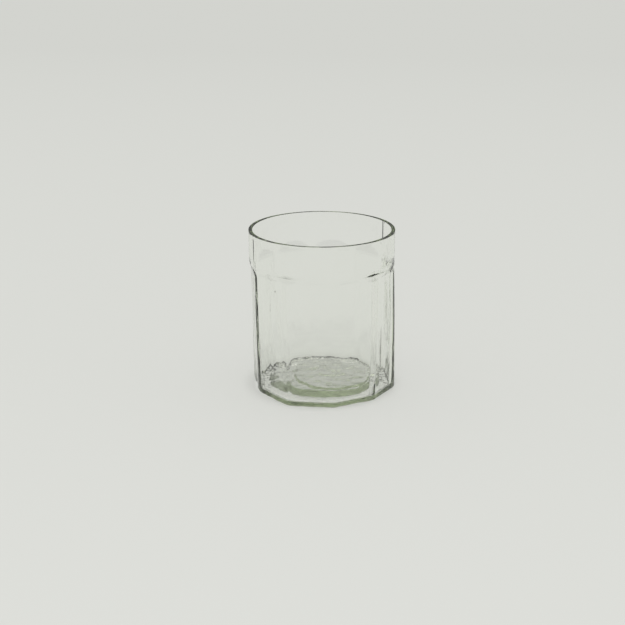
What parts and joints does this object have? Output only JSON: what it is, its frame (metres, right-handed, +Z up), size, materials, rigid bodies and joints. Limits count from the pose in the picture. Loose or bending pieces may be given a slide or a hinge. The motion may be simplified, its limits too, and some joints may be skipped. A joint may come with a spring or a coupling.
{
  "type": "drinking glass",
  "caption": "Straight-sided drinking glass in pale green glass, with a flat-sided body under a round drinking band, a flat-cut lip and a base whose floor stands higher in the middle.",
  "frame": {"origin": "centre of the base, on the surface that the glass stands on", "axes": "+Z up along the axis of the glass, -Y square to the middle of one flat side, +X through the upright edge between two flat sides"},
  "size_m": [0.08, 0.08, 0.089],
  "materials": {
    "green_glass": "clear pale green soda-lime glass, glossy, slightly wavy from the mould"
  },
  "bodies": {
    "root": {"base": "green_glass", "faceted_wall": "green_glass", "round_collar": "green_glass", "lip": "green_glass"}
  },
  "joints": []
}
